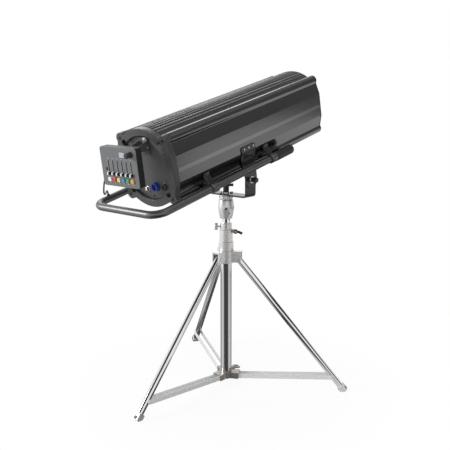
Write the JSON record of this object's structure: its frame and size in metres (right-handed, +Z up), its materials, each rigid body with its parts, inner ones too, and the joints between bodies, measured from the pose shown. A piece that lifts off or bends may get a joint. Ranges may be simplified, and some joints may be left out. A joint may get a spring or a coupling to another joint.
{
  "type": "follow spot",
  "caption": "Stage follow spot: a long ribbed lamp head with a rear control console and a bent handle, tilting in a yoke that pans on a telescopic folding tripod stand.",
  "frame": {"origin": "on the floor, under the middle of the box round the whole follow spot", "axes": "+X the way the beam points, seen from above; +Y to the left of the beam; +Z up from the floor"},
  "size_m": [1.0528, 0.8626, 1.247],
  "materials": {
    "chrome_tube": "bright chrome-plated steel tube",
    "nickel_casting": "pale satin die casting",
    "zinc_bar": "zinc-plated flat steel bar",
    "black_steel": "black powder-coated steel",
    "handle_tube": "black powder-coated aluminium tube",
    "black_extrusion": "satin black anodised aluminium extrusion",
    "grey_casting": "dark grey textured paint on a casting",
    "black_plastic": "black moulded plastic",
    "grip_rubber": "soft black rubber",
    "blue_plastic": "blue moulded plastic",
    "lens_glass": "coated lens glass",
    "bare_aluminium": "bare milled aluminium",
    "console_grey": "dark grey satin moulding",
    "button_white": "translucent white cap",
    "button_red": "translucent red cap",
    "button_yellow": "translucent yellow cap",
    "button_blue": "translucent blue cap",
    "button_green": "translucent green cap",
    "button_orange": "translucent orange cap"
  },
  "bodies": {
    "base": {"column_tube": "chrome_tube", "leg_hub": "nickel_casting", "mast_sleeve": "nickel_casting"},
    "leg_1": {"leg_1": "chrome_tube", "foot_1": "nickel_casting"},
    "leg_2": {"leg_2": "chrome_tube", "foot_2": "nickel_casting"},
    "leg_3": {"leg_3": "chrome_tube", "foot_3": "nickel_casting"},
    "spreader": {"spreader_hub": "nickel_casting"},
    "spreader_screw": {"spreader_screw": "nickel_casting"},
    "brace_1": {"brace_1": "zinc_bar"},
    "brace_2": {"brace_2": "zinc_bar"},
    "brace_3": {"brace_3": "zinc_bar"},
    "clamp_lever": {"clamp_lever": "black_plastic"},
    "collar_screw": {"collar_screw": "nickel_casting"},
    "riser": {"riser_tube": "chrome_tube", "swivel_barrel": "nickel_casting"},
    "pan": {"pan_flange": "black_steel", "yoke": "black_steel"},
    "pan_lock": {"pan_lock_knob": "black_plastic"},
    "tilt_knob_left": {"tilt_knob_left": "black_plastic"},
    "tilt_knob_right": {"tilt_knob_right": "black_plastic"},
    "head": {"pivot_plate_left": "black_steel", "pivot_plate_right": "black_steel", "handle_frame": "handle_tube", "handle_grip_left": "grip_rubber", "handle_grip_right": "grip_rubber", "side_shell_left": "black_extrusion", "side_shell_right": "black_extrusion", "top_cover": "black_extrusion", "bottom_cover": "black_extrusion", "rear_bezel": "grey_casting", "front_bezel": "black_extrusion", "rear_panel": "grey_casting", "power_inlet": "blue_plastic", "front_lens": "lens_glass", "console_hinge": "black_steel", "optics_chassis": "bare_aluminium", "light_engine": "bare_aluminium", "console_cable": "grip_rubber"},
    "fan": {"cooling_fan": "black_plastic"},
    "colour_wheel": {"colour_wheel": "bare_aluminium"},
    "zoom": {"zoom_lens": "bare_aluminium"},
    "focus": {"focus_lens": "bare_aluminium"},
    "console": {"console_box": "console_grey", "console_panel": "console_grey"},
    "encoder": {"encoder_knob": "black_plastic"},
    "fader_1": {"fader_1": "black_plastic"},
    "fader_2": {"fader_2": "black_plastic"},
    "fader_3": {"fader_3": "black_plastic"},
    "fader_4": {"fader_4": "black_plastic"},
    "fader_5": {"fader_5": "black_plastic"},
    "fader_6": {"fader_6": "black_plastic"},
    "button_1": {"button_1": "button_white"},
    "button_2": {"button_2": "button_red"},
    "button_3": {"button_3": "button_yellow"},
    "button_4": {"button_4": "button_blue"},
    "button_5": {"button_5": "button_green"},
    "button_6": {"button_6": "button_orange"}
  },
  "joints": [
    {"name": "spreader_slide", "type": "slide", "parent": "base", "child": "spreader", "axis": [0, 0, 1], "range_m": [0, 0.27933]},
    {"name": "leg_1_fold", "type": "hinge", "parent": "base", "child": "leg_1", "pos_m": [-0.00307, 0.00905, 0.522], "axis": [-0.0323, -0.9995, 0], "range_deg": [0, 33]},
    {"name": "leg_2_fold", "type": "hinge", "parent": "base", "child": "leg_2", "pos_m": [0.0646, -0.03299, 0.522], "axis": [0.8817, 0.4718, 0], "range_deg": [0, 33]},
    {"name": "leg_3_fold", "type": "hinge", "parent": "base", "child": "leg_3", "pos_m": [0.06718, 0.04664, 0.522], "axis": [-0.8494, 0.5277, 0], "range_deg": [0, 33]},
    {"name": "brace_1_fold", "type": "hinge", "parent": "spreader", "child": "brace_1", "pos_m": [0.00492, 0.00879, 0.0285], "axis": [-0.0323, -0.9995, 0], "range_deg": [0, 83.35]},
    {"name": "brace_2_fold", "type": "hinge", "parent": "spreader", "child": "brace_2", "pos_m": [0.06083, -0.02594, 0.0285], "axis": [0.8817, 0.4718, 0], "range_deg": [0, 83.35]},
    {"name": "brace_3_fold", "type": "hinge", "parent": "spreader", "child": "brace_3", "pos_m": [0.06295, 0.03984, 0.0285], "axis": [-0.8494, 0.5277, 0], "range_deg": [0, 83.35]},
    {"name": "spreader_screw_turn", "type": "hinge", "parent": "spreader", "child": "spreader_screw", "pos_m": [0.0429, 0.00757, 0.04], "axis": [1, 0, 0], "continuous": true},
    {"name": "clamp_lever_swing", "type": "hinge", "parent": "base", "child": "clamp_lever", "pos_m": [0.06669, -0.02078, 0.6268], "axis": [0.766, 0.6428, 0], "range_deg": [-60, 60]},
    {"name": "collar_screw_turn", "type": "hinge", "parent": "base", "child": "collar_screw", "pos_m": [0.0429, 0.00757, 0.64468], "axis": [-0.6428, 0.766, 0], "continuous": true},
    {"name": "mast_lift", "type": "slide", "parent": "base", "child": "riser", "axis": [0, 0, 1], "range_m": [-0.017, 0.36]},
    {"name": "pan", "type": "hinge", "parent": "riser", "child": "pan", "pos_m": [0.0429, 0.00757, 0.7541], "axis": [0, 0, 1], "continuous": true},
    {"name": "pan_lock_turn", "type": "hinge", "parent": "pan", "child": "pan_lock", "pos_m": [0.0429, 0.00757, 0.7779], "axis": [0, 0, 1], "continuous": true},
    {"name": "tilt_knob_left_turn", "type": "hinge", "parent": "pan", "child": "tilt_knob_left", "pos_m": [0.0429, 0.00757, 0.8409], "axis": [0, 1, 0], "continuous": true},
    {"name": "tilt_knob_right_turn", "type": "hinge", "parent": "pan", "child": "tilt_knob_right", "pos_m": [0.0429, 0.00757, 0.8409], "axis": [0, 1, 0], "continuous": true},
    {"name": "tilt", "type": "hinge", "parent": "pan", "child": "head", "pos_m": [0.0429, 0.00757, 0.8409], "axis": [0, -1, 0], "range_deg": [-62.85, 42.15]},
    {"name": "fan_spin", "type": "hinge", "parent": "head", "child": "fan", "pos_m": [0.00683, 0.00757, 0.99904], "axis": [0.975, 0, 0.2224], "continuous": true},
    {"name": "colour_wheel_turn", "type": "hinge", "parent": "head", "child": "colour_wheel", "pos_m": [0.00683, 0.05757, 0.99904], "axis": [0.975, 0, 0.2224], "continuous": true},
    {"name": "zoom_slide", "type": "slide", "parent": "head", "child": "zoom", "axis": [0.975, 0, 0.2224], "range_m": [-0.12, 0.09]},
    {"name": "focus_slide", "type": "slide", "parent": "head", "child": "focus", "axis": [0.975, 0, 0.2224], "range_m": [-0.11, 0.15]},
    {"name": "console_tilt", "type": "hinge", "parent": "head", "child": "console", "pos_m": [-0.42288, 0.00757, 0.98081], "axis": [0, 1, 0], "range_deg": [-20, 30]},
    {"name": "encoder_turn", "type": "hinge", "parent": "console", "child": "encoder", "pos_m": [-0.42309, -0.05493, 0.9823], "axis": [0.99, 0, 0.1407], "continuous": true},
    {"name": "fader_1_slide", "type": "slide", "parent": "console", "child": "fader_1", "axis": [-0.1407, 0, 0.99], "range_m": [0, 0.04]},
    {"name": "fader_2_slide", "type": "slide", "parent": "console", "child": "fader_2", "axis": [-0.1407, 0, 0.99], "range_m": [0, 0.04]},
    {"name": "fader_3_slide", "type": "slide", "parent": "console", "child": "fader_3", "axis": [-0.1407, 0, 0.99], "range_m": [0, 0.04]},
    {"name": "fader_4_slide", "type": "slide", "parent": "console", "child": "fader_4", "axis": [-0.1407, 0, 0.99], "range_m": [0, 0.04]},
    {"name": "fader_5_slide", "type": "slide", "parent": "console", "child": "fader_5", "axis": [-0.1407, 0, 0.99], "range_m": [0, 0.04]},
    {"name": "fader_6_slide", "type": "slide", "parent": "console", "child": "fader_6", "axis": [-0.1407, 0, 0.99], "range_m": [0, 0.04]},
    {"name": "button_1_press", "type": "slide", "parent": "console", "child": "button_1", "axis": [0.99, 0, 0.1407], "range_m": [0, 0.002], "stiffness_N_per_m": 300, "springref_m": -0.002},
    {"name": "button_2_press", "type": "slide", "parent": "console", "child": "button_2", "axis": [0.99, 0, 0.1407], "range_m": [0, 0.002], "stiffness_N_per_m": 300, "springref_m": -0.002},
    {"name": "button_3_press", "type": "slide", "parent": "console", "child": "button_3", "axis": [0.99, 0, 0.1407], "range_m": [0, 0.002], "stiffness_N_per_m": 300, "springref_m": -0.002},
    {"name": "button_4_press", "type": "slide", "parent": "console", "child": "button_4", "axis": [0.99, 0, 0.1407], "range_m": [0, 0.002], "stiffness_N_per_m": 300, "springref_m": -0.002},
    {"name": "button_5_press", "type": "slide", "parent": "console", "child": "button_5", "axis": [0.99, 0, 0.1407], "range_m": [0, 0.002], "stiffness_N_per_m": 300, "springref_m": -0.002},
    {"name": "button_6_press", "type": "slide", "parent": "console", "child": "button_6", "axis": [0.99, 0, 0.1407], "range_m": [0, 0.002], "stiffness_N_per_m": 300, "springref_m": -0.002}
  ],
  "couplings": [
    {"joint": "leg_1_fold", "follows": "spreader_slide", "rad_per_m": 2.0619},
    {"joint": "leg_2_fold", "follows": "spreader_slide", "rad_per_m": 2.0619},
    {"joint": "leg_3_fold", "follows": "spreader_slide", "rad_per_m": 2.0619},
    {"joint": "brace_1_fold", "follows": "spreader_slide", "rad_per_m": 5.2078},
    {"joint": "brace_2_fold", "follows": "spreader_slide", "rad_per_m": 5.2078},
    {"joint": "brace_3_fold", "follows": "spreader_slide", "rad_per_m": 5.2078}
  ]
}
